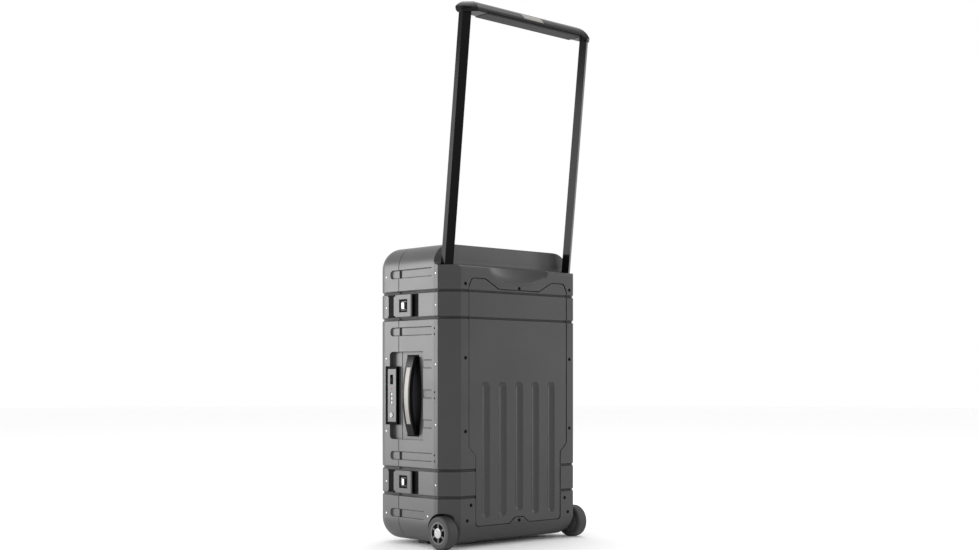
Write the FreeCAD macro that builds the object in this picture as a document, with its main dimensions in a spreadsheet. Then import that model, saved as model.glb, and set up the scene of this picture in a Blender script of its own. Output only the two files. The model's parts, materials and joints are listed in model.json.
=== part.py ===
import FreeCAD, Part
import math
import os
from types import SimpleNamespace

import Sketcher
from FreeCAD import Placement, Rotation, Vector

# A wheeled hard equipment case with a telescopic trolley handle.  +Z is up, the lid faces -Y, the
# fluted back panel, the wheels and the trolley are at +Y, the latches are on +X and the hinges on
# -X.  The origin is on the floor, in the middle of the space the case takes with its handle out.

# ---- driving sizes, in millimetres and degrees --------------------------------------------------
SIZES = (
    ("case_width", 352, "case, across the side faces"),
    ("case_depth", 212, "case, from the lid's face to the back face"),
    ("case_bottom", 7, "underside of the body above the floor"),
    ("case_top", 559, "top of the body above the floor"),
    ("lid_depth", 69, "lid's face to the parting line"),
    ("parting_gap", 1.4, "gap between lid and back half"),
    ("wall", 5, "wall of the shells"),
    ("rear_wall", 9, "wall behind the back face"),
    ("long_round", 42, "rounding of the long edges between side, top and bottom"),
    ("front_round", 30, "rounding round the lid's face"),
    ("back_facet", 30.5, "facet on the back corners, measured along each face"),
    ("frame_band", 41, "corner frame's reach in front of the back face"),
    ("belt_outer", 188.5, "outer groove of each belt, from the middle of the body"),
    ("belt_inner", 139.3, "inner groove of each belt, from the middle of the body"),
    ("belt_groove", 3.5, "depth and half width of a belt groove"),
    ("channel_height", 16, "height of a side channel"),
    ("channel_depth", 3.5, "depth of a side channel"),
    ("channel_front", 44, "lid's face to the front end of a side channel"),
    ("channel_back", 47.5, "back face to the rear end of a side channel"),
    ("channel_short", 69.5, "back face to the rear end of the lowest side channel"),
    ("channel_outer", 223.5, "outermost side channels, from the middle of the body"),
    ("channel_upper", 116, "second side channels, from the middle of the body"),
    ("channel_middle", 55, "inner side channels, from the middle of the body"),
    ("recess_front", 42, "lid's face to the front of the handle recess"),
    ("recess_back", 140, "lid's face to the rear of the handle recess"),
    ("recess_half", 82, "half height of the handle recess"),
    ("recess_drop", 3.5, "middle of the handle recess below the middle of the body"),
    ("recess_depth", 9, "depth of the handle recess"),
    ("recess_backing", 4, "wall behind the handle recess and the latches"),
    ("notch_depth", 43, "notch for the trolley grip, in front of the back face"),
    ("rim_height", 518, "floor of the grip notch above the ground"),
    ("notch_round", 12, "rounding between the notch's floor and wall"),
    ("rim_round", 8, "rounding of the rim along the back face"),
    ("scoop_half", 78, "half width of the finger scoop"),
    ("scoop_drop", 32, "finger scoop's reach below the rim"),
    ("scoop_depth", 19, "finger scoop's depth from the back face"),
    ("panel_half", 126, "half width of the back panel"),
    ("panel_foot_half", 109, "half width of the back panel between the wheels"),
    ("panel_bottom", 41, "lower edge of the back panel above the floor"),
    ("panel_bump", 52, "top of the step in the back panel's lower edge"),
    ("panel_shoulder", 178, "height where the back panel narrows"),
    ("panel_top", 476, "upper edge of the back panel in the middle"),
    ("panel_ear", 18, "rise of the back panel's two ears"),
    ("ear_inner", 86, "inner end of an ear's level top, from the middle"),
    ("ear_slope", 34, "width of the slope at an ear's inner end"),
    ("bump_half", 11, "half width of the step in the panel's lower edge"),
    ("bump_slope", 14, "width of the slopes beside that step"),
    ("panel_step", 8, "size of the slanted corners in the panel's outline"),
    ("panel_corner", 7, "rounding of the corners in the panel's outline"),
    ("panel_thick", 5, "plate of the back panel"),
    ("panel_sunk", 0.6, "back panel below the back face"),
    ("panel_gap", 2, "gap round the back panel"),
    ("ledge", 5, "ledge that the back panel sits on"),
    ("flute_pitch", 42.4, "spacing of the flutes"),
    ("flute_width", 21, "width of a flute"),
    ("flute_depth", 5, "depth of a flute"),
    ("flute_top", 306, "upper end of the flutes above the floor"),
    ("flute_bottom", 53, "lower end of the flutes above the floor"),
    ("flute_skin", 3.4, "panel left behind a flute"),
    ("wheel_radius", 30.7, "wheel radius"),
    ("wheel_width", 23, "wheel width"),
    ("wheel_inset", 25, "wheel centre in front of the back face"),
    ("wheel_proud", 4, "wheel's outer face beyond the side face"),
    ("tyre_thick", 10, "tyre, from its hub to its tread"),
    ("cap_radius", 9.5, "radius of a wheel's centre cap"),
    ("arch_gap", 4.5, "gap between the wheel and its arch"),
    ("hub_gap", 2.5, "gap between the wheel and the wall inboard of it"),
    ("axle_radius", 4, "axle radius"),
    ("hub_dish", 3, "depth of the hub's dished outer face"),
    ("running_gap", 0.05, "radial clearance of a running fit"),
    ("slide_gap", 0.4, "clearance round a part that slides"),
    ("trolley_lean", 6.3, "lean of the trolley tubes, in degrees"),
    ("trolley_stroke", 439, "travel of the trolley handle"),
    ("tube_outer_inset", 13, "outer face of a trolley tube in from the side face"),
    ("tube_width", 13, "width of a trolley tube"),
    ("tube_front", 36.8, "front face of a trolley tube in front of the back face, at the rim"),
    ("tube_deep", 19.4, "depth of a trolley tube along its inner face"),
    ("tube_shallow", 10.8, "depth of a trolley tube along its outer face"),
    ("tube_wall", 1.6, "wall of a trolley tube"),
    ("tube_reach", 26, "trolley tube's reach above the rim, pushed in"),
    ("tube_length", 500, "length of a trolley tube"),
    ("bush_wall", 3, "wall of a guide bush"),
    ("bush_length", 16, "length of a guide bush below the rim"),
    ("bush_lip", 1.6, "height of a guide bush's lip above the rim"),
    ("sleeve_wall", 2, "wall of a guide sleeve"),
    ("sleeve_length", 450, "length of a guide sleeve"),
    ("grip_gap", 0.6, "gap between the trolley grip and its notch"),
    ("grip_lift", 14, "trolley grip above the rim, pushed in"),
    ("grip_short", 11, "trolley grip's ends in from the side faces"),
    ("grip_bar", 24, "height of the trolley grip's bar"),
    ("grip_leg", 40, "width of the trolley grip's end over its tube"),
    ("grip_pad", 3.5, "thickness of the pad under the bar"),
    ("grip_slope", 12, "slope between the trolley grip's end and its bar"),
    ("pad_inset", 6.5, "pad in from the bar's front and back"),
    ("plug_length", 22, "length of the plug in a trolley tube's lower end"),
    ("release_deep", 26, "depth of the trolley release button's room"),
    ("release_width", 50, "width of the trolley release button"),
    ("release_height", 12, "height of the trolley release button"),
    ("release_travel", 3, "travel of the trolley release button"),
    ("latch_front", 39, "lid's face to the front of a latch"),
    ("latch_back", 127, "lid's face to the rear of a latch's bed"),
    ("latch_half", 21.4, "half height of a latch's bed"),
    ("latch_pocket", 5, "depth of the pocket under a latch"),
    ("latch_plate", 4, "thickness of a latch's bed"),
    ("pivot_back", 61, "lid's face to a latch's pivot"),
    ("pivot_proud", 2.2, "latch's pivot beyond the side face"),
    ("pin_radius", 1.3, "latch pin and hinge pin radius"),
    ("barrel_radius", 2.8, "radius of a latch's barrel and a hinge's knuckles"),
    ("lever_end", 112, "lid's face to the free end of a latch lever"),
    ("lever_gap", 0.8, "latch lever inside the ends of its bed"),
    ("lever_thin", 4, "slant at the free end of a latch lever"),
    ("lever_lift", 0.8, "underside of a latch lever above the side face"),
    ("ear_thick", 3.2, "ear that carries a latch's pin"),
    ("button_side", 13, "side of a latch button"),
    ("button_room", 5.5, "width of the trough round a latch button"),
    ("button_trough", 1.5, "depth of that trough"),
    ("button_floor", 2.4, "thickness of a latch button under its face, pressed in"),
    ("button_travel", 1.5, "travel of a latch button"),
    ("button_proud", 0.6, "latch button beyond its lever"),
    ("lock_front", 29, "lid's face to the front of the lock"),
    ("lock_back", 60, "lid's face to the rear of the lock"),
    ("lock_half", 55, "half height of the lock"),
    ("lock_plate", 1.2, "thickness of the lock's face plate"),
    ("lock_sunk", 2.6, "lock's housing below the side face"),
    ("lock_rim", 5, "lock's housing in front of, above and below its face plate"),
    ("lock_lip", 1.2, "lock's housing behind its face plate"),
    ("lock_shift", 1, "dials and key behind the middle of the lock"),
    ("dial_radius", 3.5, "radius of a number dial"),
    ("dial_width", 5.2, "width of a number dial"),
    ("dial_pitch", 7.8, "spacing of the number dials"),
    ("dial_drop", 5.5, "middle dial below the middle of the lock"),
    ("dial_proud", 0.6, "dials beyond the face plate"),
    ("shaft_radius", 1, "shaft that carries the dials"),
    ("key_drop", 37, "key cylinder below the middle of the lock"),
    ("slider_rise", 25, "slider above the middle of the lock"),
    ("slider_half", 4, "half width of the lock's slider"),
    ("key_radius", 5, "radius of the key cylinder"),
    ("slider_height", 9, "height of the lock's slider"),
    ("slider_travel", 4, "travel of the lock's slider"),
    ("carry_half", 73, "half height of the carry handle"),
    ("carry_width", 20, "width of the carry handle"),
    ("carry_middle", 105, "lid's face to the middle of the carry handle"),
    ("carry_proud", 12, "carry handle beyond the side face"),
    ("carry_bar", 7.5, "thickness of the carry handle"),
    ("badge_deep", 1.2, "depth of the inlay's bed in the carry handle"),
    ("badge_margin", 4, "carry handle beside its inlay"),
    ("badge_short", 20, "carry handle beyond each end of its inlay"),
    ("carry_pull", 10, "travel of the carry handle"),
    ("tray_thick", 0.5, "tray on the floor of the handle recess"),
    ("tray_front", 84, "lid's face to the front edge of that tray"),
    ("tray_back", 125, "lid's face to the tray's rear edge, in the middle"),
    ("tray_bow", 7.5, "bow of the tray's rear edge"),
    ("tray_half", 76, "half height of the tray"),
    ("foot_spread", 105, "front feet, from the middle of the body"),
    ("foot_front", 72, "lid's face to a front foot"),
    ("foot_length", 26, "length of a front foot"),
    ("foot_width", 50, "width of a front foot"),
    ("stud_front", 95, "lid's face to the first side feet"),
    ("stud_back", 150, "lid's face to the second side feet"),
    ("foot_height", 12, "height of a side foot"),
    ("foot_radius", 9, "radius of a side foot"),
    ("liner_thick", 9, "thickness of the lining"),
    ("liner_side", 42, "lining in from the side faces"),
    ("liner_drop", 60, "back half's lining below the rim"),
    ("rivet_radius", 1.9, "radius of a rivet's head"),
    ("rivet_proud", 0.8, "height of a rivet's head"),
    ("screw_radius", 3.2, "radius of a screw's head"),
    ("strip_place", 135.25, "column of screws, from the middle of the case"),
    ("foot_place", 122, "lowest screws, from the middle of the case"),
    ("wheel_screw", 131, "screws above the wheels, from the middle of the case"),
    ("rivet_inset", 36, "back face to the rivets of the back half"),
    ("low_rivet_inset", 58.6, "back face to the lowest rivet of the back half"),
    ("hinge_half", 28, "half height of a hinge"),
    ("hinge_leaf", 24, "width of a hinge's leaf"),
    ("leaf_thick", 2, "thickness of a hinge's leaf"),
    ("hinge_spread", 85, "hinges, from the middle of the body"),
    ("seal_width", 2.2, "width of the seal between lid and back half"),
    ("seal_deep", 2.4, "depth of the seal's groove"),
    ("seal_proud", 0.3, "seal beyond the edge it lies in"),
    ("post_height", 11, "height of a carry handle's post"),
    ("seat", 0.3, "clearance between a moving part and what it rests against"),
)

doc = FreeCAD.newDocument("hard_case")
sheet = doc.addObject("Spreadsheet::Sheet", "size")
NODES = {}


class Size:
    """A driving size, or a value worked out from several, with the expression that binds it."""

    def __init__(self, value, text):
        self.value = value
        self.text = text

    def __add__(self, other):
        return joined(self, "+", other)

    def __radd__(self, other):
        return joined(other, "+", self)

    def __sub__(self, other):
        return joined(self, "-", other)

    def __rsub__(self, other):
        return joined(other, "-", self)

    def __mul__(self, other):
        return joined(self, "*", other)

    def __rmul__(self, other):
        return joined(other, "*", self)

    def __truediv__(self, other):
        return joined(self, "/", other)

    def __neg__(self):
        return joined(0, "-", self)


def size_of(item):
    return item if isinstance(item, Size) else Size(float(item), str(item))


def joined(left, sign, right):
    left = size_of(left)
    right = size_of(right)
    value = {
        "+": left.value + right.value,
        "-": left.value - right.value,
        "*": left.value * right.value,
        "/": left.value / (right.value or 1.0),
    }[sign]
    return Size(value, f"({left.text} {sign} {right.text})")


def sine(angle):
    return Size(math.sin(math.radians(angle.value)), f"sin({angle.text})")


def cosine(angle):
    return Size(math.cos(math.radians(angle.value)), f"cos({angle.text})")


def root(item):
    return Size(math.sqrt(item.value), f"sqrt({item.text})")


def bind(thing, prop, item):
    thing.setExpression(prop, size_of(item).text)


for row, (alias, number, note) in enumerate(SIZES, 1):
    sheet.set(f"A{row}", note)
    sheet.set(f"B{row}", str(number))
    sheet.setAlias(f"B{row}", alias)
doc.recompute()
dim = SimpleNamespace(**{alias: Size(float(value), f"size.{alias}") for alias, value, _ in SIZES})

# ---- places that several pieces share -----------------------------------------------------------
HALF = dim.case_width / 2
FRONT = -(dim.case_depth + dim.trolley_stroke * sine(dim.trolley_lean)) / 2
BACK = FRONT + dim.case_depth
PARTING = FRONT + dim.lid_depth
FRAME = BACK - dim.frame_band
MIDDLE = (dim.case_bottom + dim.case_top) / 2
GRIP_LEVEL = MIDDLE - dim.recess_drop
PANEL_FACE = BACK - dim.panel_sunk
WHEEL_Y = BACK - dim.wheel_inset
WHEEL_OUT = HALF + dim.wheel_proud
WHEEL_IN = WHEEL_OUT - dim.wheel_width
ARCH_IN = WHEEL_IN - dim.hub_gap
ARCH_RADIUS = dim.wheel_radius + dim.arch_gap
BELTS = (dim.belt_outer, dim.belt_inner, -dim.belt_inner, -dim.belt_outer)
LATCH_LEVEL = (dim.belt_outer + dim.belt_inner) / 2
FAR = 60
# Heights above or below the middle of the body.
BACK_RIVETS = (220, 162, 54, -56, -166)
LOW_RIVET = -224
LID_RIVETS = (220, 162, 66, -71, -166, -226)
STRIP_SCREWS = (201, 66, -68)
FOOT_SCREW = -203
WHEEL_SCREW = -231
MIDDLE_SCREWS = (198, -238)
# How far a slanted edge's ends shift sideways as the panel's outline grows by one.
EAR_SHIFT = 0.25
BUMP_SHIFT = 0.34


# ---- building blocks ----------------------------------------------------------------------------
def box(name, low, high):
    """A block between two opposite corners."""
    block = doc.addObject("Part::Box", name)
    for side, axis, start, end in zip(("Length", "Width", "Height"), "xyz", low, high):
        bind(block, side, size_of(end) - start)
        bind(block, f"Placement.Base.{axis}", start)
    return block


TURNS = {
    "x": Rotation(Vector(0, 1, 0), 90),
    "y": Rotation(Vector(1, 0, 0), -90),
    "z": Rotation(),
}


def place(thing, at):
    for axis, item in zip("xyz", at):
        bind(thing, f"Placement.Base.{axis}", item)
    return thing


def rod(name, radius, at, length, along="z"):
    """A cylinder that starts at a point and runs along an axis."""
    cylinder = doc.addObject("Part::Cylinder", name)
    cylinder.Placement = Placement(Vector(), TURNS[along])
    bind(cylinder, "Radius", radius)
    bind(cylinder, "Height", length)
    return place(cylinder, at)


def rounded_rod(name, radius, at, length, rounding, along="x"):
    """A cylinder made as a body, with both its rims rounded."""
    body = doc.addObject("PartDesign::Body", name)
    body.Placement = Placement(Vector(), TURNS[along])
    sketch = new_sketch(body, "XY_Plane", 0)
    sketch.addGeometry(Part.Circle(Vector(), Vector(0, 0, 1), size_of(radius).value), False)
    sketch.addConstraint(Sketcher.Constraint("Coincident", 0, 3, -1, 1))
    rule = sketch.addConstraint(Sketcher.Constraint("Radius", 0, size_of(radius).value))
    bind(sketch, f"Constraints[{rule}]", radius)
    pad(body, sketch, length)
    fillet(body, rounding, lambda edge: isinstance(edge.Curve, Part.Circle))
    return place(body, at)


def fuse(name, *pieces):
    union = doc.addObject("Part::MultiFuse", name)
    union.Shapes = list(pieces)
    return union


def group(name, *pieces):
    """Separate solids of one node, which don't touch each other."""
    compound = doc.addObject("Part::Compound", name)
    compound.Links = list(pieces)
    return compound


def cut(name, base, *tools):
    difference = doc.addObject("Part::Cut", name)
    difference.Base = base
    difference.Tool = tools[0] if len(tools) == 1 else fuse(name + "_tools", *tools)
    return difference


def common(name, base, tool):
    overlap = doc.addObject("Part::Common", name)
    overlap.Base = base
    overlap.Tool = tool
    return overlap


def mirrored(name, piece):
    """The same piece on the other side of the case."""
    image = doc.addObject("Part::Mirroring", name)
    image.Source = piece
    image.Normal = Vector(1, 0, 0)
    return image


def node(name, piece):
    """Marks a finished piece, which is written to a file of its own."""
    piece.Label = name
    NODES[name] = piece
    return piece


def new_sketch(body, plane, offset):
    sketch = body.newObject("Sketcher::SketchObject", "outline")
    origin_plane = next(f for f in body.Origin.OriginFeatures if f.Role == plane)
    sketch.AttachmentSupport = (origin_plane, [""])
    sketch.MapMode = "FlatFace"
    bind(sketch, "AttachmentOffset.Base.z", offset)
    return sketch


def draw(sketch, points):
    """A closed outline whose corners are tied to the sheet."""
    count = len(points)
    spots = [Vector(size_of(x).value, size_of(y).value, 0) for x, y in points]
    for i in range(count):
        sketch.addGeometry(Part.LineSegment(spots[i], spots[(i + 1) % count]), False)
    for i in range(count):
        sketch.addConstraint(Sketcher.Constraint("Coincident", i, 2, (i + 1) % count, 1))
    for i, point in enumerate(points):
        for kind, item in zip(("DistanceX", "DistanceY"), point):
            rule = sketch.addConstraint(Sketcher.Constraint(kind, -1, 1, i, 1, size_of(item).value))
            bind(sketch, f"Constraints[{rule}]", item)


def pad(body, sketch, length):
    feature = body.newObject("PartDesign::Pad", "pad")
    feature.Profile = sketch
    bind(feature, "Length", length)
    sketch.Visibility = False
    return feature


def prism(name, plane, points, low, high):
    """A body padded from an outline in one of the origin planes, between two distances."""
    body = doc.addObject("PartDesign::Body", name)
    offset = -size_of(high) if plane == "XZ_Plane" else low
    sketch = new_sketch(body, plane, offset)
    draw(sketch, points)
    pad(body, sketch, size_of(high) - low)
    return body


def dress(kind, prop, body, item, chosen):
    base = body.Tip
    doc.recompute()
    edges = [f"Edge{n}" for n, edge in enumerate(base.Shape.Edges, 1) if chosen(edge)]
    feature = body.newObject(kind, "dress")
    feature.Base = (base, edges)
    bind(feature, prop, item)
    doc.recompute()
    return feature


def fillet(body, radius, chosen):
    return dress("PartDesign::Fillet", "Radius", body, radius, chosen)


def chamfer(body, size, chosen):
    return dress("PartDesign::Chamfer", "Size", body, size, chosen)


def lies_at(edge, axis, place_value):
    """True when the whole edge lies at one distance along an axis."""
    low = getattr(edge.BoundBox, axis + "Min")
    high = getattr(edge.BoundBox, axis + "Max")
    return abs(low - place_value) < 0.01 and abs(high - place_value) < 0.01


def runs_along(edge, axis):
    return edge.BoundBox.DiagonalLength - getattr(edge.BoundBox, axis + "Length") < 0.01


# ---- the body as one block, then its hollow and its details -------------------------------------
def body_block(name, skin, rear_skin):
    """The rounded outer form of the case, or the same form drawn in by a wall."""
    half = HALF - skin
    front = FRONT + skin
    back = BACK - rear_skin
    facet = dim.back_facet + skin * math.sqrt(2)
    side_end = BACK - facet + skin
    back_end = HALF - facet + rear_skin
    bottom = dim.case_bottom + skin
    top = dim.case_top - skin
    block = prism(name, "XY_Plane", (
        (-half, front), (half, front), (half, side_end),
        (back_end, back), (-back_end, back), (-half, side_end),
    ), bottom, top)
    fillet(block, dim.long_round - skin, lambda edge: (
        (lies_at(edge, "Z", bottom.value) or lies_at(edge, "Z", top.value))
        and not lies_at(edge, "Y", front.value)))
    fillet(block, dim.front_round - skin, lambda edge: lies_at(edge, "Y", front.value))
    return block


def belt_groove(name, level):
    """A vee groove right round the body: a slab less two blocks whose facing rims are chamfered."""
    deep = dim.belt_groove
    side_end = BACK - dim.back_facet
    back_end = HALF - dim.back_facet
    blocks = []
    for part, low, high in (("_above", level, level + deep), ("_below", level - deep, level)):
        block = prism(name + part, "XY_Plane", (
            (-HALF, FRONT), (HALF, FRONT), (HALF, side_end),
            (back_end, BACK), (-back_end, BACK), (-HALF, side_end),
        ), low, high)
        fillet(block, dim.front_round, lambda edge: (
            runs_along(edge, "Z") and lies_at(edge, "Y", FRONT.value)))
        chamfer(block, deep - 0.01, lambda edge: lies_at(edge, "Z", level.value))
        blocks.append(block)
    slab = box(name + "_slab", (-HALF - 5, FRONT - 5, level - deep), (HALF + 5, BACK + 5, level + deep))
    return cut(name, slab, *blocks)


def channel(name, level, rear):
    """A side channel's cutter, with sloped walls."""
    half = dim.channel_height / 2
    block = prism(name, "YZ_Plane", (
        (FRONT + dim.channel_front, level - half), (rear, level - half),
        (rear, level + half), (FRONT + dim.channel_front, level + half),
    ), HALF - dim.channel_depth, HALF + 2)
    fillet(block, half - 1, lambda edge: (
        runs_along(edge, "X") and lies_at(edge, "Y", (FRONT + dim.channel_front).value)))
    chamfer(block, dim.channel_depth * 0.4, lambda edge: (
        lies_at(edge, "X", (HALF - dim.channel_depth).value)))
    return block


def ellipsoid(name, at, across, deep, tall):
    shape = doc.addObject("Part::Ellipsoid", name)
    bind(shape, "Radius1", tall)
    bind(shape, "Radius2", across)
    bind(shape, "Radius3", deep)
    return place(shape, at)


def notch(name, grow, floor):
    """The space for the trolley grip, with its inner corner rounded."""
    wall_y = BACK - dim.notch_depth - grow
    above = dim.case_top + FAR
    corners = ((wall_y, floor), (BACK + FAR, floor), (BACK + FAR, above), (wall_y, above))
    block = prism(name, "YZ_Plane", corners, -HALF - FAR, HALF + FAR)
    fillet(block, dim.notch_round, lambda edge: (
        lies_at(edge, "Y", wall_y.value) and lies_at(edge, "Z", size_of(floor).value)))
    return block


def rim_edge(name):
    """What is taken off the rim's rear edge to round it."""
    radius = dim.rim_round
    corner = box(name + "_corner", (-HALF, BACK - radius, dim.rim_height - radius),
                 (HALF, BACK + 1, dim.rim_height + 1))
    core = rod(name + "_core", radius, (-HALF - 1, BACK - radius, dim.rim_height - radius),
               HALF * 2 + 2, "x")
    return cut(name, corner, core)


def recess(name, grow, deep):
    """The handle recess in the latch side, with rounded corners."""
    low = GRIP_LEVEL - dim.recess_half - grow
    high = GRIP_LEVEL + dim.recess_half + grow
    start = FRONT + dim.recess_front - grow
    end = FRONT + dim.recess_back + grow
    corners = ((start, low), (end, low), (end, high), (start, high))
    block = prism(name, "YZ_Plane", corners, HALF - deep, HALF + FAR)
    fillet(block, dim.channel_height / 2, lambda edge: (
        runs_along(edge, "X") and lies_at(edge, "Y", start.value)))
    chamfer(block, deep - 1, lambda edge: (
        lies_at(edge, "X", (HALF - deep).value) and lies_at(edge, "Y", end.value)))
    return block


def latch_space(name, level, grow, deep):
    return box(name,
               (HALF - deep, FRONT + dim.latch_front - grow, level - dim.latch_half - grow),
               (HALF + FAR, FRONT + dim.latch_back + grow, level + dim.latch_half + grow))


def lock_space(name, grow, deep):
    return box(name,
               (HALF - deep, FRONT + dim.lock_front - grow, GRIP_LEVEL - dim.lock_half - grow),
               (HALF + FAR, FRONT + dim.lock_back + grow, GRIP_LEVEL + dim.lock_half + grow))


def arch(name, grow):
    """A wheel arch in the right-hand corner, open to the side, the back and the floor."""
    inner = ARCH_IN - grow
    radius = ARCH_RADIUS + grow
    centre = (inner, WHEEL_Y, dim.wheel_radius)
    round_part = rod(name + "_round", radius, centre, dim.wheel_width + FAR, "x")
    open_part = box(name + "_open", (inner, WHEEL_Y, -FAR),
                    (HALF + FAR, BACK + FAR, dim.wheel_radius + radius * 0.7))
    low_part = box(name + "_low", (inner, WHEEL_Y - radius, -FAR),
                   (HALF + FAR, BACK + FAR, dim.wheel_radius))
    return fuse(name, round_part, open_part, low_part)


def both_sides(name, maker, *details):
    right = maker(name + "_right", *details)
    return [right, mirrored(name + "_left", right)]


def tube_section(grow):
    """A trolley tube's outline, whose rear face slants to follow the case's corner facet."""
    inner = HALF - dim.tube_outer_inset - dim.tube_width - grow
    outer = HALF - dim.tube_outer_inset + grow
    slope = (dim.tube_deep - dim.tube_shallow) / dim.tube_width
    slant = root(1 + slope * slope)
    rear_outer = dim.tube_shallow + grow * slant - slope * grow
    rear_inner = dim.tube_deep + grow * slant + slope * grow
    return ((inner, -size_of(grow)), (outer, -size_of(grow)), (outer, rear_outer), (inner, rear_inner))


def tube_prism(name, grow, low, high):
    """A piece that follows a trolley tube; low and high are measured along it from the rim."""
    body = prism(name, "XY_Plane", tube_section(grow), low, high)
    lean = Rotation(Vector(-1, 0, 0), dim.trolley_lean.value)
    body.Placement = Placement(Vector(), lean)
    bind(body, "Placement.Rotation.Angle", dim.trolley_lean)
    return place(body, (0, BACK - dim.tube_front, dim.rim_height))


def case_shell():
    """The whole hollow body before it is split into lid, back half and corner frame."""
    cutters = [belt_groove(f"belt_{n}", MIDDLE + rise) for n, rise in enumerate(BELTS)]
    levels = (dim.channel_outer, dim.channel_upper, dim.channel_middle, size_of(0), -dim.channel_middle,
              -dim.channel_upper)
    for n, rise in enumerate(levels):
        cutters += both_sides(f"channel_{n}", channel, MIDDLE + rise, BACK - dim.channel_back)
    cutters += both_sides("channel_low", channel, MIDDLE - dim.channel_outer, BACK - dim.channel_short)
    cutters += both_sides("arch", arch, 0)
    cutters.append(notch("notch", 0, dim.rim_height))
    cutters.append(rim_edge("rim_edge"))
    cutters.append(ellipsoid("scoop", (0, BACK, dim.rim_height),
                             dim.scoop_half, dim.scoop_depth, dim.scoop_drop))
    cutters.append(recess("recess", 0, dim.recess_depth))
    cutters.append(lock_space("lock_bed", 0, dim.recess_depth))
    for n, side in enumerate((1, -1)):
        cutters.append(latch_space(f"latch_bed_{n}", MIDDLE + LATCH_LEVEL * side, 0, dim.latch_pocket))
    outside = cut("case_outside", body_block("case_block", size_of(0), size_of(0)), *cutters)

    wall = dim.wall
    backing = dim.recess_backing
    walls = both_sides("arch_wall", arch, wall)
    walls.append(notch("notch_wall", wall, dim.rim_height - wall))
    walls.append(ellipsoid("scoop_wall", (0, BACK, dim.rim_height),
                           dim.scoop_half + wall, dim.scoop_depth + wall, dim.scoop_drop + wall))
    walls.append(recess("recess_wall", backing, dim.recess_depth + backing))
    walls.append(lock_space("lock_wall", backing, dim.recess_depth + backing))
    for n, side in enumerate((1, -1)):
        walls.append(latch_space(f"latch_wall_{n}", MIDDLE + LATCH_LEVEL * side, backing,
                                 dim.latch_pocket + backing))
    hollow = cut("case_hollow", body_block("hollow_block", wall, dim.rear_wall), *walls)
    return cut("case_shell", outside, hollow)


def panel_outline(grow):
    """The back panel's outline: two ears above, narrower between the wheels."""
    step = dim.panel_step
    grow = size_of(grow)
    top = dim.panel_top + grow
    ear_top = top + dim.panel_ear
    side = dim.panel_half + grow
    foot = dim.panel_foot_half + grow
    bottom = dim.panel_bottom - grow
    ear = dim.ear_inner - grow * EAR_SHIFT
    bump = dim.bump_half - grow * BUMP_SHIFT
    half = (
        (bump, dim.panel_bump - grow), (bump + dim.bump_slope, bottom),
        (foot, bottom), (foot, dim.panel_shoulder - step),
        (side, dim.panel_shoulder + step), (side, ear_top - step * 2),
        (side - step, ear_top), (ear, ear_top), (ear - dim.ear_slope, top),
    )
    return half + tuple((-x, z) for x, z in reversed(half))


def panel_space(name, grow, low, high):
    block = prism(name, "XZ_Plane", panel_outline(grow), low, high)
    fillet(block, dim.panel_corner, lambda edge: runs_along(edge, "Y"))
    return block


def make_shells():
    shell = case_shell()
    gap = dim.parting_gap / 2
    wide = HALF + FAR
    tall = dim.case_top + FAR
    front_box = box("lid_zone", (-wide, FRONT - FAR, -FAR), (wide, PARTING - gap, tall))
    node("lid_shell", common("lid_shell", shell, front_box))

    tunnel = tube_prism("bush_hole_right", dim.bush_wall, -dim.bush_length * 2, dim.tube_reach + FAR)
    tunnels = (tunnel, mirrored("bush_hole_left", tunnel))
    seal = seal_ring("seal_groove", size_of(0), dim.seal_deep)
    slots = post_holes()
    middle_box = box("middle_zone", (-wide, PARTING + gap, -FAR), (wide, FRAME, tall))
    node("back_shell", cut("back_shell", common("middle_part", shell, middle_box), seal, *tunnels, *slots))

    rear_box = box("rear_zone", (-wide, FRAME, -FAR), (wide, BACK + FAR, tall))
    opening = panel_space("opening", -dim.ledge, BACK - dim.rear_wall - FAR, BACK + FAR)
    rebate = panel_space("rebate", dim.panel_gap, PANEL_FACE - dim.panel_thick, BACK + FAR)
    bores = both_sides("axle_bore", axle_rod, dim.running_gap)
    rear_part = common("rear_part", shell, rear_box)
    node("rear_frame", cut("rear_frame", rear_part, opening, rebate, *tunnels, *bores))


def seal_ring(name, low, high):
    """A ring set in the middle of the wall at the parting line, from low to high behind it."""
    start = PARTING + dim.parting_gap / 2 + low
    end = PARTING + dim.parting_gap / 2 + high
    middle = dim.wall / 2
    width = dim.seal_width / 2
    rings = []
    for part, inset in (("_outer", middle - width), ("_inner", middle + width)):
        half = HALF - inset
        ring = prism(name + part, "XZ_Plane", (
            (-half, dim.case_bottom + inset), (half, dim.case_bottom + inset),
            (half, dim.case_top - inset), (-half, dim.case_top - inset),
        ), start, end)
        fillet(ring, dim.long_round - inset, lambda edge: runs_along(edge, "Y"))
        rings.append(ring)
    gaps = [recess(name + "_recess", dim.recess_backing / 2, dim.recess_depth + dim.recess_backing),
            lock_space(name + "_lock", dim.recess_backing / 2, dim.recess_depth + dim.recess_backing)]
    for n, side in enumerate((1, -1)):
        gaps.append(latch_space(f"{name}_latch_{n}", MIDDLE + LATCH_LEVEL * side, 1, dim.latch_pocket + 1))
    return cut(name, rings[0], rings[1], *gaps)


def post_corners(side, grow, inner, outer):
    """Two corners of a carry handle's post, or of the hole it slides in."""
    reach = dim.carry_half - dim.post_height
    ends = sorted((size_of(side) * reach, size_of(side) * dim.carry_half), key=lambda item: item.value)
    half = dim.carry_width / 2 - 2
    floor = HALF - dim.recess_depth
    return ((floor + inner, FRONT + dim.carry_middle - half - grow, GRIP_LEVEL + ends[0] - grow),
            (floor + outer, FRONT + dim.carry_middle + half + grow, GRIP_LEVEL + ends[1] + grow))


def post_holes():
    """The two holes that the carry handle's posts slide in."""
    return [box(f"post_hole_{n}", *post_corners(side, dim.slide_gap, -FAR, FAR))
            for n, side in enumerate((1, -1))]


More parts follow.
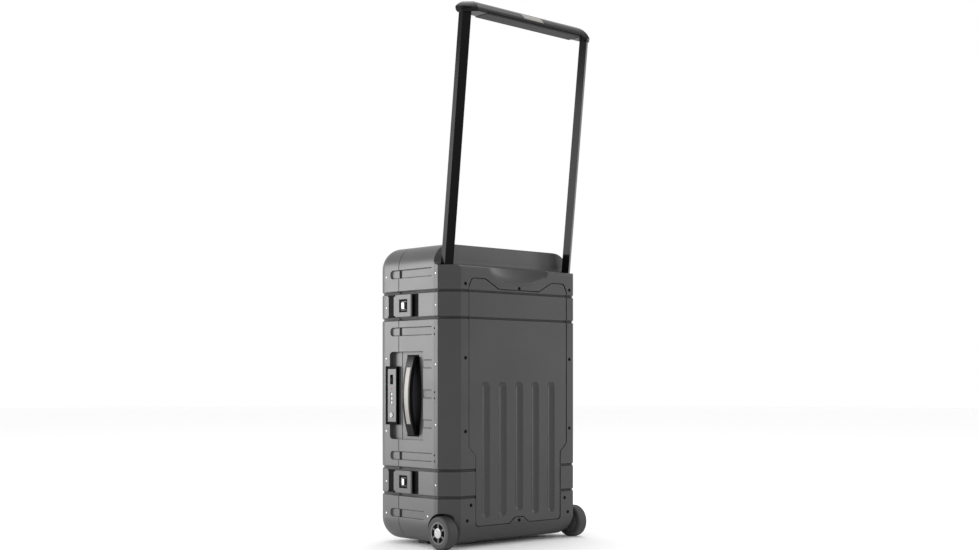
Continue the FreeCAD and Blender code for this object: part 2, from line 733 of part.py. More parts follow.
def axle_rod(name, grow):
    return rod(name, dim.axle_radius + grow, (ARCH_IN - dim.rear_wall, WHEEL_Y, dim.wheel_radius),
               dim.rear_wall + dim.hub_gap + dim.wheel_width - dim.hub_dish - dim.seat, "x")


def flute(name, across, bottom):
    """A flute's cutter: a round bar with ball ends, sunk so that the flute has its width and depth."""
    half = dim.flute_width / 2
    radius = (half * half + dim.flute_depth * dim.flute_depth) / (dim.flute_depth * 2)
    centre = PANEL_FACE - dim.flute_depth + radius
    low = bottom + half
    high = dim.flute_top - half
    pieces = [rod(name + "_bar", radius, (across, centre, low), high - low)]
    for level in (low, high):
        ball = doc.addObject("Part::Sphere", name + "_end")
        bind(ball, "Radius", radius)
        pieces.append(place(ball, (across, centre, level)))
    return fuse(name, *pieces)


def make_back_panel():
    """The fluted panel: a plate with ribs behind, grooved by the upper belt and cut by the flutes."""
    plate = panel_space("panel_plate", 0, PANEL_FACE - dim.panel_thick, PANEL_FACE)
    ribs = []
    flutes = []
    reach = dim.flute_width / 2 + dim.flute_skin
    behind = PANEL_FACE - dim.flute_depth - dim.flute_skin
    for n in (-2, -1, 0, 1, 2):
        across = dim.flute_pitch * n
        bottom = dim.flute_bottom if n else dim.panel_bump + dim.ledge + dim.flute_skin + 1
        ribs.append(box(f"rib_{n + 2}", (across - reach, behind, bottom - dim.flute_skin),
                        (across + reach, PANEL_FACE - 1, dim.flute_top + dim.flute_skin)))
        flutes.append(flute(f"flute_{n + 2}", across, bottom))
    grooves = [belt_groove(f"panel_belt_{n}", MIDDLE + rise) for n, rise in enumerate(BELTS[:2])]
    solid = fuse("panel_blank", plate, *ribs)
    node("rear_panel", cut("rear_panel", solid, *flutes, *grooves))


# ---- pieces fixed to the back half --------------------------------------------------------------
def make_seal():
    node("seal", seal_ring("seal", -dim.seal_proud, dim.seal_deep))


def make_linings():
    thick = dim.liner_thick
    across = HALF - dim.liner_side
    low = dim.case_bottom + dim.long_round + 3
    behind = PANEL_FACE - dim.flute_depth - dim.flute_skin - dim.seat
    node("liner_back", box("liner_back", (-across, behind - thick, low),
                           (across, behind, dim.rim_height - dim.liner_drop)))
    node("liner_lid", box("liner_lid", (-across, FRONT + dim.wall + dim.seat, low),
                          (across, FRONT + dim.wall + thick, dim.case_top - dim.liner_side)))


def make_feet():
    pads = []
    front = FRONT + dim.foot_front
    for side in (1, -1):
        middle = dim.foot_spread * side
        pads.append(box(f"foot_pad_{side + 1}", (middle - dim.foot_width / 2, front, 0),
                        (middle + dim.foot_width / 2, front + dim.foot_length, dim.case_bottom)))
    node("front_feet", group("front_feet", *pads))
    studs = []
    for level in (MIDDLE + LATCH_LEVEL, MIDDLE - LATCH_LEVEL):
        for back in (dim.stud_front, dim.stud_back):
            studs.append(rounded_rod("side_stud", dim.foot_radius,
                                     (-HALF - dim.foot_height, FRONT + back, level),
                                     dim.foot_height, 2))
    node("side_feet", group("side_feet", *studs))


def make_axles():
    right = axle_rod("axle_right", size_of(0))
    node("axle_right", right)
    node("axle_left", mirrored("axle_left", right))


def make_guides():
    """The bushes at the rim and the sleeves below them, which the trolley tubes slide in."""
    bush = cut("bush_right", tube_prism("bush_body", dim.bush_wall, -dim.bush_length, dim.bush_lip),
               tube_prism("bush_bore", dim.slide_gap, -dim.bush_length - 5, dim.bush_lip + 5))
    node("bush_right", bush)
    node("bush_left", mirrored("bush_left", bush))
    low = -dim.bush_length - dim.sleeve_length
    sleeve_body = tube_prism("sleeve_body", dim.sleeve_wall + dim.slide_gap, low, -dim.bush_length)
    sleeve_bore = tube_prism("sleeve_bore", dim.slide_gap, low - 5, 5 - dim.bush_length)
    sleeve = cut("sleeve_right", sleeve_body, sleeve_bore)
    node("sleeve_right", sleeve)
    node("sleeve_left", mirrored("sleeve_left", sleeve))


def make_hinges():
    """Two hinges on the left side: outer knuckles on the back half, the middle one on the lid."""
    axis_x = -HALF - dim.barrel_radius
    knuckle = dim.hinge_half / 3
    gap = dim.seat / 2
    clear = dim.barrel_radius + 0.8
    pins = []
    for level_name, level in (("upper", MIDDLE + dim.hinge_spread), ("lower", MIDDLE - dim.hinge_spread)):
        spans = {
            "back": ((-dim.hinge_half, -knuckle - gap), (knuckle + gap, dim.hinge_half)),
            "lid": ((-knuckle + gap, knuckle - gap),),
        }
        for owner, side, bore_gap in (("back", 1, size_of(0)), ("lid", -1, dim.running_gap)):
            far = PARTING + side * dim.hinge_leaf
            near = PARTING + side * clear
            leaf_start, leaf_end = ordered(near, far)
            pieces = [box("leaf", (-HALF - dim.leaf_thick, leaf_start, level - dim.hinge_half),
                          (-HALF, leaf_end, level + dim.hinge_half))]
            for low, high in spans[owner]:
                start, end = ordered(PARTING, near)
                pieces.append(box("leaf_arm", (-HALF - dim.leaf_thick, start, level + low),
                                  (-HALF, end, level + high)))
                pieces.append(rod("knuckle", dim.barrel_radius, (axis_x, PARTING, level + low), high - low))
            bore_low = level - dim.hinge_half - 1
            bore = rod("knuckle_bore", dim.pin_radius + bore_gap, (axis_x, PARTING, bore_low),
                       dim.hinge_half * 2 + 2)
            name = f"hinge_{level_name}_{owner}"
            node(name, cut(name, fuse(name + "_solid", *pieces), bore))
        pins.append(rod("pin", dim.pin_radius, (axis_x, PARTING, level - dim.hinge_half),
                        dim.hinge_half * 2))
    node("hinge_pins", group("hinge_pins", *pins))


def ordered(first, second):
    return (first, second) if size_of(first).value < size_of(second).value else (second, first)


def make_fasteners():
    """Rivets along the side faces, screws on the back."""
    rows = {
        "rivets_back": [(BACK - dim.rivet_inset, rise) for rise in BACK_RIVETS],
        "rivets_lid": [(FRONT + dim.front_round + 2, rise) for rise in LID_RIVETS],
    }
    rows["rivets_back"].append((BACK - dim.low_rivet_inset, LOW_RIVET))
    for name, spots in rows.items():
        heads = []
        for y, rise in spots:
            for side in (HALF, -HALF - dim.rivet_proud):
                heads.append(rod("rivet", dim.rivet_radius, (side, y, MIDDLE + rise), dim.rivet_proud, "x"))
        node(name, group(name, *heads))
    places = [(dim.strip_place, rise) for rise in STRIP_SCREWS]
    places += [(dim.foot_place, FOOT_SCREW), (dim.wheel_screw, WHEEL_SCREW)]
    places += [(-x, rise) for x, rise in places]
    places += [(0, rise) for rise in MIDDLE_SCREWS]
    screws = [rod("screw", dim.screw_radius, (x, BACK, MIDDLE + rise), dim.rivet_proud, "y")
              for x, rise in places]
    node("frame_screws", group("frame_screws", *screws))


# ---- latches, lock and carry handle -------------------------------------------------------------
def make_latch(which, level):
    """One latch: bed, pin, lever and button on the lid, keeper on the back half."""
    pivot = (HALF + dim.pivot_proud, FRONT + dim.pivot_back)
    plate_in = HALF - dim.latch_pocket
    plate_out = plate_in + dim.latch_plate
    fit = dim.seat / 2
    half = dim.latch_half - fit
    front = FRONT + dim.latch_front + fit
    lid_end = PARTING - dim.parting_gap / 2
    pieces = [
        box("bed", (plate_in, front, level - half), (plate_out, lid_end, level + half)),
        box("bed_front", (plate_in, front, level - half),
            (HALF + dim.button_proud, pivot[1] - dim.barrel_radius - dim.seat, level + half)),
    ]
    for low, high in ((half - dim.ear_thick, half), (-half, dim.ear_thick - half)):
        ear_end = pivot[1] + dim.barrel_radius
        pieces.append(box("ear", (plate_in, front, level + low), (pivot[0], ear_end, level + high)))
        pieces.append(rod("ear_tip", dim.barrel_radius, (*pivot, level + low), high - low))
    bore = rod("pin_bore", dim.pin_radius, (*pivot, level - half - 1), half * 2 + 2)
    node(f"latch_bed_{which}", cut("latch_bed", fuse("bed_solid", *pieces), bore))
    node(f"latch_pin_{which}", rod("latch_pin", dim.pin_radius, (*pivot, level - half), half * 2))

    barrel_half = half - dim.ear_thick - dim.seat
    lever_half = dim.latch_half - dim.lever_gap
    lever_in = HALF + dim.lever_lift
    lever_out = HALF + dim.pivot_proud + dim.barrel_radius
    lever_end = FRONT + dim.lever_end
    neck_end = pivot[1] + dim.barrel_radius + dim.seat * 2
    button_y = (neck_end + lever_end) / 2
    side = dim.button_side / 2
    trough = side + dim.button_room
    room = side + dim.seat
    barrel = rod("barrel", dim.barrel_radius, (*pivot, level - barrel_half), barrel_half * 2)
    neck = box("neck", (lever_in, pivot[1], level - barrel_half),
               (lever_out, neck_end, level + barrel_half))
    face = prism("face", "XY_Plane", (
        (lever_in, neck_end), (lever_out, neck_end), (lever_out, lever_end - dim.lever_thin / 2),
        (lever_out - dim.lever_thin / 2, lever_end), (lever_in, lever_end - dim.lever_thin),
    ), level - lever_half, level + lever_half)
    hole = rod("lever_bore", dim.pin_radius + dim.running_gap, (*pivot, level - half), half * 2)
    pocket_floor = lever_out - dim.button_travel - dim.button_floor
    pocket = box("button_pocket", (pocket_floor, button_y - room, level - room),
                 (HALF + FAR, button_y + room, level + room))
    margin = box("button_margin", (lever_out - dim.button_trough, button_y - trough, level - trough),
                 (HALF + FAR, button_y + trough, level + trough))
    lever = cut("latch_lever", fuse("lever_solid", barrel, neck, face), hole, pocket, margin)
    node(f"latch_lever_{which}", lever)
    button_in = pocket_floor + dim.button_travel + dim.seat
    button = box("latch_button", (button_in, button_y - side, level - side),
                 (lever_out + dim.button_proud, button_y + side, level + side))
    node(f"latch_button_{which}", button)

    keeper_start = PARTING + dim.parting_gap / 2
    keeper_end = FRONT + dim.latch_back - fit
    keeper = box("keeper_plate", (plate_in, keeper_start, level - half),
                 (plate_out, keeper_end, level + half))
    swing = dim.barrel_radius * 3
    rim_start = lever_end + dim.lever_thin
    rim = box("keeper_rim", (plate_in, rim_start, level - half), (HALF, keeper_end, level + half))
    scoop = rod("keeper_scoop", swing, (HALF + dim.lever_thin, rim_start, level - half - 1), half * 2 + 2)
    node(f"latch_keeper_{which}", fuse("latch_keeper", keeper, cut("keeper_ramp", rim, scoop)))


def make_lock():
    """The combination lock on the lid: housing, face plate, three dials, slider and key cylinder."""
    fit = dim.seat / 2
    bed = HALF - dim.recess_depth
    face = HALF - dim.lock_sunk
    plate_face = face + dim.lock_plate
    front = FRONT + dim.lock_front + fit
    back = FRONT + dim.lock_back - fit
    low = GRIP_LEVEL - dim.lock_half + fit
    high = GRIP_LEVEL + dim.lock_half - fit
    centre = (front + back) / 2 + dim.lock_shift
    dial_x = plate_face + dim.dial_proud - dim.dial_radius
    dial_low = GRIP_LEVEL - dim.dial_drop - dim.dial_pitch
    dial_half = dim.dial_width / 2
    room = dial_half + dim.seat
    reach = dim.dial_radius + dim.seat
    key_level = GRIP_LEVEL - dim.key_drop
    slider_low = GRIP_LEVEL + dim.slider_rise

    block = box("lock_block", (bed, front, low), (face, back, high))
    plate = box("plate_blank", (face, front + dim.lock_rim, low + dim.lock_rim),
                (plate_face, back - dim.lock_lip, high - dim.lock_rim))
    holes = []
    slots = []
    for n in range(3):
        level = dial_low + dim.dial_pitch * n
        holes.append(rod("dial_room", reach, (dial_x, centre, level - room), room * 2))
        slots.append(box("dial_slot", (face - 1, centre - reach, level - room),
                         (HALF + FAR, centre + reach, level + room)))
        disc = rounded_rod("dial_disc", dim.dial_radius, (dial_x, centre, level - dial_half),
                           dim.dial_width, 0.5, "z")
        bore = rod("dial_bore", dim.shaft_radius + dim.running_gap * 2,
                   (dial_x, centre, level - room), room * 2)
        node(f"lock_dial_{n + 1}", cut("dial", disc, bore))
    shaft_over = room + dim.shaft_radius * 2
    shaft = rod("dial_shaft", dim.shaft_radius, (dial_x, centre, dial_low - shaft_over),
                dim.dial_pitch * 2 + shaft_over * 2)
    slider_in = bed + dim.lock_plate
    slider = box("slider", (slider_in, centre - dim.slider_half, slider_low),
                 (plate_face + dim.dial_proud, centre + dim.slider_half, slider_low + dim.slider_height))
    slider_top = slider_low + dim.slider_height + dim.slider_travel + dim.shaft_radius
    slider_wide = dim.slider_half + dim.seat
    slider_room = box("slider_room",
                      (slider_in - dim.seat, centre - slider_wide, slider_low - dim.slider_travel),
                      (HALF + FAR, centre + slider_wide, slider_top))
    key_in = bed + dim.lock_plate
    key_body = rounded_rod("key_body", dim.key_radius, (key_in, centre, key_level),
                           plate_face + dim.lock_plate - key_in, 0.6)
    key_slot = box("key_slot", (face, centre - dim.dial_proud, key_level - dim.key_radius / 2),
                   (HALF + FAR, centre + dim.dial_proud, key_level + dim.key_radius / 2))
    node("lock_key", cut("key_cylinder", key_body, key_slot))
    key_room = rod("key_room", dim.key_radius + dim.running_gap * 2, (key_in - dim.seat, centre, key_level),
                   FAR, "x")
    housing = cut("housing_cut", block, *holes, slider_room, key_room)
    node("lock_housing", fuse("lock_housing", housing, shaft))
    node("lock_plate", cut("lock_plate", plate, *slots, slider_room, key_room))
    node("lock_slider", slider)


def arc_band(name, out_middle, out_end, thick, half, across, centre):
    """A band that bows outward, as the part of a round bar between two cylinders."""
    rise = out_middle - out_end
    radius = (half * half + rise * rise) / (rise * 2)
    axis_x = out_middle - radius
    start = centre - across / 2
    outer = rod(name + "_outer", radius, (axis_x, start, GRIP_LEVEL), across, "y")
    inner = rod(name + "_inner", radius - thick, (axis_x, start - 1, GRIP_LEVEL), across + 2, "y")
    window = box(name + "_window", (out_end - thick * 1.5, start, GRIP_LEVEL - half),
                 (out_middle + 1, start + across, GRIP_LEVEL + half))
    return common(name, cut(name + "_band", outer, inner), window)


def make_tray():
    """A thin plate on the recess's floor behind the carry handle, with a bowed rear edge."""
    floor = HALF - dim.recess_depth
    half = dim.tray_half
    radius = (half * half + dim.tray_bow * dim.tray_bow) / (dim.tray_bow * 2)
    plate = box("tray_plate", (floor, FRONT + dim.tray_front, GRIP_LEVEL - half),
                (floor + dim.tray_thick, FRONT + dim.tray_back + 1, GRIP_LEVEL + half))
    edge = rod("tray_edge", radius, (floor - 1, FRONT + dim.tray_back - radius, GRIP_LEVEL),
               dim.tray_thick + 2, "x")
    node("handle_tray", cut("handle_tray", common("tray_bowed", plate, edge), *post_holes()))


def make_carry_handle():
    """The bowed side handle on its two posts, with a plain inlay along its outer face."""
    centre = FRONT + dim.carry_middle
    out_middle = HALF + dim.carry_proud
    out_end = HALF - 0.4
    inlay_deep = dim.badge_deep
    bow = arc_band("bow", out_middle, out_end, dim.carry_bar, dim.carry_half, dim.carry_width, centre)
    posts = []
    floor = -dim.recess_backing
    pulled = floor - dim.carry_pull
    for n, side in enumerate((1, -1)):
        inner, outer = post_corners(side, size_of(0), pulled - 2, dim.recess_depth / 2)
        posts.append(box(f"post_{n}", inner, outer))
        head_in, head_out = post_corners(side, 2, pulled - 4, pulled - 1)
        posts.append(box(f"post_head_{n}", head_in, head_out))
    inlay_half = dim.carry_half - dim.badge_short
    badge_width = dim.carry_width - dim.badge_margin * 2
    reach = (HALF - FAR, HALF + FAR)
    across = (centre - dim.carry_width, centre + dim.carry_width)
    trench = common("inlay_room",
                    arc_band("inlay_band", out_middle + 0.01, out_end + 0.01, inlay_deep,
                             dim.carry_half, badge_width, centre),
                    box("inlay_window", (reach[0], across[0], GRIP_LEVEL - inlay_half),
                        (reach[1], across[1], GRIP_LEVEL + inlay_half)))
    node("carry_grip", cut("carry_grip", fuse("carry_solid", bow, *posts), trench))
    badge = common("badge", arc_band("badge_band", out_middle - dim.seat, out_end - dim.seat,
                                     inlay_deep - dim.seat - dim.running_gap, dim.carry_half,
                                     badge_width - dim.seat * 2, centre),
                   box("badge_window", (reach[0], across[0], GRIP_LEVEL - inlay_half + dim.seat),
                       (reach[1], across[1], GRIP_LEVEL + inlay_half - dim.seat)))
    node("carry_badge", badge)


# ---- wheels and trolley -------------------------------------------------------------------------
def make_wheels():
    hub_radius = dim.wheel_radius - dim.tyre_thick
    at = (WHEEL_IN, WHEEL_Y, dim.wheel_radius)
    tyre_solid = rounded_rod("tyre_solid", dim.wheel_radius, at, dim.wheel_width, 4)
    tyre_bore = rod("tyre_bore", hub_radius, (WHEEL_IN - 1, *at[1:]), dim.wheel_width + 2, "x")
    tyre = cut("tyre", tyre_solid, tyre_bore)
    past = dim.wheel_width + 2
    bore = rod("hub_bore", dim.axle_radius + dim.running_gap, (WHEEL_IN - 1, *at[1:]), past, "x")
    dish = rod("dish", hub_radius - dim.hub_dish, (WHEEL_OUT - dim.hub_dish, *at[1:]), past, "x")
    hub = cut("hub", rod("hub_disc", hub_radius, at, dim.wheel_width, "x"), bore, dish)
    cap = rounded_rod("cap", dim.cap_radius, (WHEEL_OUT - dim.hub_dish, *at[1:]), dim.hub_dish + 1, 1)
    for name, piece in (("tyre", tyre), ("hub", hub), ("hub_cap", cap)):
        node(name + "_right", piece)
        node(name + "_left", mirrored(name + "_left", piece))


def lifted(piece):
    """Moves a piece of the trolley from its pushed-in place to the pulled-out one."""
    bind(piece, "Placement.Base.y", dim.trolley_stroke * sine(dim.trolley_lean))
    bind(piece, "Placement.Base.z", dim.trolley_stroke * cosine(dim.trolley_lean))
    return piece


def make_trolley():
    low = dim.tube_reach - dim.tube_length
    outside = tube_prism("tube_outside", size_of(0), low, dim.tube_reach)
    inside = tube_prism("tube_inside", -dim.tube_wall, low - 5, dim.tube_reach + 5)
    tube = cut("tube", outside, inside)
    node("tube_right", lifted(group("tube_right", tube)))
    node("tube_left", lifted(mirrored("tube_left", tube)))
    plug_end = low + dim.plug_length
    plug = tube_prism("plug_body", -dim.tube_wall, low, plug_end)
    node("plug_right", lifted(group("plug_right", plug)))
    node("plug_left", lifted(mirrored("plug_left", plug)))

    gap = dim.grip_gap
    seat_z = dim.rim_height + dim.grip_lift
    space = notch("grip_space", -gap, seat_z)
    grip_end = HALF - dim.grip_short
    span = box("grip_span", (-grip_end, FRONT, 0), (grip_end, BACK, dim.case_top))
    block = common("grip_ends", body_block("grip_block", size_of(0), size_of(0)), span)
    outer = common("grip_outer", block, space)
    bar_low = dim.case_top - dim.grip_bar
    leg = HALF - dim.grip_leg
    hand = prism("hand_room", "XZ_Plane", (
        (-leg, 0), (leg, 0), (leg - dim.grip_slope, bar_low), (dim.grip_slope - leg, bar_low),
    ), FRONT - FAR, BACK + FAR)
    sockets = both_sides("tube_socket", tube_prism, size_of(0), -40, dim.tube_reach)
    half = dim.release_width / 2
    button_low = dim.case_top - dim.grip_bar / 2 - dim.release_height / 2
    button_in = BACK - dim.release_deep
    room = box("release_room", (-half - dim.seat, button_in, button_low - dim.seat),
               (half + dim.seat, BACK + FAR, button_low + dim.release_height + dim.seat))
    node("grip_shell", lifted(cut("grip_shell", outer, hand, *sockets, room)))
    button_space = box("release_space", (-half, button_in + dim.release_travel + dim.seat, button_low),
                       (half, BACK + FAR, button_low + dim.release_height))
    button = common("release_button", body_block("release_block", size_of(0), size_of(0)), button_space)
    node("release_button", lifted(button))
    pad_half = leg - dim.grip_slope - 2
    pad_front = BACK - dim.notch_depth + dim.pad_inset
    pad_block = box("pad_block", (-pad_half, pad_front, bar_low - dim.grip_pad),
                    (pad_half, BACK - dim.pad_inset, bar_low))
    node("grip_pad", lifted(group("grip_pad", pad_block)))


make_shells()
make_back_panel()
make_seal()
make_linings()
make_feet()
make_axles()
make_guides()
make_hinges()
make_fasteners()
make_latch("upper", MIDDLE + LATCH_LEVEL)
make_latch("lower", MIDDLE - LATCH_LEVEL)
make_lock()
make_tray()
make_carry_handle()
make_wheels()
make_trolley()
doc.recompute()

failed = [thing.Label for thing in doc.Objects if {"Invalid", "Error"} & set(thing.State)]
if failed:
    raise SystemExit(f"these did not compute: {failed}")
for name, piece in NODES.items():
    if piece.Shape.isNull() or not piece.Shape.isValid() or not piece.Shape.Solids:
        raise SystemExit(f"{name} has no valid solid")

os.makedirs("parts", exist_ok=True)
for name, piece in NODES.items():
    piece.Shape.exportStep(f"parts/{name}.step")
    print(f"{name:20} {piece.Shape.Volume / 1000:9.2f} cm3")
print(len(NODES), "pieces")
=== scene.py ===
# %% [markdown]
# # A hard equipment case, dressed in Blender
# The hard case was designed in CAD: its shells, latches, lock, wheels and trolley are loaded here as
# a fixed frame, in metres, with +Z up, the lid facing -Y and the latches on +X. Blender's task is the
# surface of things: moulded plastic, anodised tube, rubber, quilted lining, and the soft light that
# shows them. Each step says what the piece or finish is on the real case and why it is made this way.

# %% Load the frame
import json
import math

import bmesh
import bpy
from mathutils import Matrix, Vector


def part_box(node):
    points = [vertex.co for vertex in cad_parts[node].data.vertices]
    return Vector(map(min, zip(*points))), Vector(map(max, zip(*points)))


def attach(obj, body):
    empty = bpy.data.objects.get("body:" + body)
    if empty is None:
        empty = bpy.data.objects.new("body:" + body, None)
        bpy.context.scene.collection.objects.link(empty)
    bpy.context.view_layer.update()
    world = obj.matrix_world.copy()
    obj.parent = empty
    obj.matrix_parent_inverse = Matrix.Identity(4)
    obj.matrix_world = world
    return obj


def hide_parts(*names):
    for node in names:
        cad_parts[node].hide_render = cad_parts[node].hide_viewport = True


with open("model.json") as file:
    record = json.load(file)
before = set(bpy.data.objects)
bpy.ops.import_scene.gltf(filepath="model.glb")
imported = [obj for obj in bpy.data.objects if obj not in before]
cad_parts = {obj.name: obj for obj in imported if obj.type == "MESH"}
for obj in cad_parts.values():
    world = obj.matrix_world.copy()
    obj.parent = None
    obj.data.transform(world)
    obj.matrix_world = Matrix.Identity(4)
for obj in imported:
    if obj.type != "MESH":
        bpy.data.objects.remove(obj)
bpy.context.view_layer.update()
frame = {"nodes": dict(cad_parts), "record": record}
nodes = frame["nodes"]
print("nodes in the frame:", len(nodes))

# %% [markdown]
# ## Places to measure from
# A piece that is added later goes where the CAD says. A few landmarks are read once from the frame:
# the faces of the body, its height, and the front edge of the corner frame.

# %% Landmarks
lid_low, lid_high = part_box("lid_shell")
frame_low, frame_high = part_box("rear_frame")
half_width = lid_high.x
lid_face = lid_low.y
back_face = frame_high.y
frame_edge = frame_low.y
body_middle = (lid_low.z + lid_high.z) / 2
millimetre = 0.001
print("body", round(half_width * 2, 4), "wide,", round(back_face - lid_face, 4), "deep")

# %% [markdown]
# ## Camera
# The case is seen from behind its latch side, from about two and a half metres away and at half its
# height, so upright lines stay upright. A lens of 50 mm on a 36 mm sensor gives the same gentle
# perspective. Lifting the view with the lens's shift, not with a tilt, keeps the verticals parallel.

# %% Camera
camera_across = 1.767
camera_behind = 1.845
camera_height = 0.306
camera_bearing = 42.48
camera_data = bpy.data.cameras.new("camera")
camera_data.sensor_width = 36
camera_data.lens = 49.8773
camera_data.shift_y = 0.1088
camera = bpy.data.objects.new("camera", camera_data)
camera.location = (camera_across, back_face + camera_behind, camera_height)
camera.rotation_euler = (math.radians(90), 0, math.radians(180 - camera_bearing))
bpy.context.scene.collection.objects.link(camera)
bpy.context.scene.camera = camera

# %% [markdown]
# ## Floor and light
# A pale floor with no visible edge stands in for a studio sweep. One very large, soft key stands
# beside the case, a little in front of its lid, so that the side face mirrors it towards the camera
# and looks a bright, satin grey. The back panel turns away from the key and is lit only by the pale
# surroundings, which is why it looks half as bright though it is nearly the same plastic.

# %% Floor
def plain_floor():
    """A wide disc under the case."""
    mesh = bpy.data.meshes.new("floor")
    shape = bmesh.new()
    bmesh.ops.create_circle(shape, cap_ends=True, radius=14, segments=96)
    shape.to_mesh(mesh)
    shape.free()
    floor = bpy.data.objects.new("floor", mesh)
    bpy.context.scene.collection.objects.link(floor)
    material = bpy.data.materials.new("floor")
    material.use_nodes = True
    surface = material.node_tree.nodes["Principled BSDF"]
    surface.inputs["Base Color"].default_value = (0.97, 0.97, 0.97, 1)
    surface.inputs["Roughness"].default_value = 0.85
    mesh.materials.append(material)
    return floor


plain_floor()

# %% Light
def soft_light(name, at, towards, size, power):
    """A large square lamp that faces a point."""
    data = bpy.data.lights.new(name, "AREA")
    data.shape = "RECTANGLE"
    data.size, data.size_y = size
    data.energy = power
    lamp = bpy.data.objects.new(name, data)
    lamp.location = at
    lamp.rotation_euler = (Vector(towards) - Vector(at)).to_track_quat("-Z", "Y").to_euler()
    bpy.context.scene.collection.objects.link(lamp)
    return lamp


soft_light("key", (2.5, -2.7, 0.7), (0, 0, 0.35), (2.2, 2.0), 105)
soft_light("overhead", (-0.6, -0.4, 3.2), (0, 0, 0.3), (2.0, 2.0), 22)
soft_light("edge_strip", (-2.6, 1.2, 0.7), (0, 0, 0.4), (0.5, 2.4), 22)

world = bpy.data.worlds.new("studio")
world.use_nodes = True
world.node_tree.nodes["Background"].inputs["Color"].default_value = (1, 1, 1, 1)
world.node_tree.nodes["Background"].inputs["Strength"].default_value = 1.0
bpy.context.scene.world = world
bpy.context.scene.view_settings.view_transform = "Standard"

# %% [markdown]
# ## Shared effects
# Moulded plastic shows a fine, even grain, and its sharp edges catch light, painted here as a lighter
# colour along them. Both are wanted on many finishes, so each is a node group with named sockets. The
# groups give out only values and masks, and the shader stays in each material, where its own settings can
# be read.

# %% Node helpers
def add_node(tree, kind, **settings):
    """A new node in a tree, with its plain settings."""
    node = tree.nodes.new(kind)
    for name, value in settings.items():
        setattr(node, name, value)
    return node


def open_group(name, inputs, outputs):
    """A node group with float sockets; inputs are name and default value."""
    group = bpy.data.node_groups.new(name, "ShaderNodeTree")
    for label, value in inputs:
        socket = group.interface.new_socket(label, in_out="INPUT", socket_type="NodeSocketFloat")
        socket.default_value = value
    for label in outputs:
        group.interface.new_socket(label, in_out="OUTPUT", socket_type="NodeSocketFloat")
    return group, add_node(group, "NodeGroupInput"), add_node(group, "NodeGroupOutput")


# %% Grain group
def grain_group():
    """Fine moulded texture as a height, and a slow cloudiness for colour and gloss."""
    group, entry, exit_node = open_group("moulded_grain", (("Scale", 900.0), ("Cloud Scale", 9.0)),
                                         ("Height", "Cloud"))
    place = add_node(group, "ShaderNodeTexCoord")
    fine = add_node(group, "ShaderNodeTexNoise")
    fine.inputs["Detail"].default_value = 2.0
    pits = add_node(group, "ShaderNodeTexVoronoi", feature="SMOOTH_F1")
    cloud = add_node(group, "ShaderNodeTexNoise")
    cloud.inputs["Detail"].default_value = 4.0
    blend = add_node(group, "ShaderNodeMath", operation="MULTIPLY")
    link = group.links.new
    for texture, socket in ((fine, "Scale"), (pits, "Scale"), (cloud, "Cloud Scale")):
        link(place.outputs["Object"], texture.inputs["Vector"])
        link(entry.outputs[socket], texture.inputs["Scale"])
    link(fine.outputs["Fac"], blend.inputs[0])
    link(pits.outputs["Distance"], blend.inputs[1])
    link(blend.outputs[0], exit_node.inputs["Height"])
    link(cloud.outputs["Fac"], exit_node.inputs["Cloud"])
    return group


grain = grain_group()

# %% Edge group for the painted highlight
def edge_group():
    """A mask that is 1 on sharp edges and broken into patches, which places a painted highlight there."""
    group, entry, exit_node = open_group("painted_edge_highlight", (("Width", 0.0012), ("Patchiness", 35.0)),
                                         ("Mask",))
    link = group.links.new
    rounded = add_node(group, "ShaderNodeBevel", samples=4)
    plain = add_node(group, "ShaderNodeNewGeometry")
    agree = add_node(group, "ShaderNodeVectorMath", operation="DOT_PRODUCT")
    spread = add_node(group, "ShaderNodeMapRange")
    spread.inputs["From Min"].default_value = 0.999
    spread.inputs["From Max"].default_value = 0.93
    place = add_node(group, "ShaderNodeTexCoord")
    patches = add_node(group, "ShaderNodeTexNoise")
    broken = add_node(group, "ShaderNodeMath", operation="MULTIPLY")
    link(entry.outputs["Width"], rounded.inputs["Radius"])
    link(rounded.outputs["Normal"], agree.inputs[0])
    link(plain.outputs["Normal"], agree.inputs[1])
    link(agree.outputs["Value"], spread.inputs["Value"])
    link(place.outputs["Object"], patches.inputs["Vector"])
    link(entry.outputs["Patchiness"], patches.inputs["Scale"])
    link(spread.outputs["Result"], broken.inputs[0])
    link(patches.outputs["Fac"], broken.inputs[1])
    link(broken.outputs[0], exit_node.inputs["Mask"])
    return group


painted_edge_highlight = edge_group()

# %% [markdown]
# ## Finishes
# Every finish is the same recipe with its own values: a base colour that the slow cloud shifts a
# little, a roughness that the same cloud breaks up, and a fine bump. A Bevel node rounds the shading
# at sharp edges, because a moulded edge always catches a thin line of light.

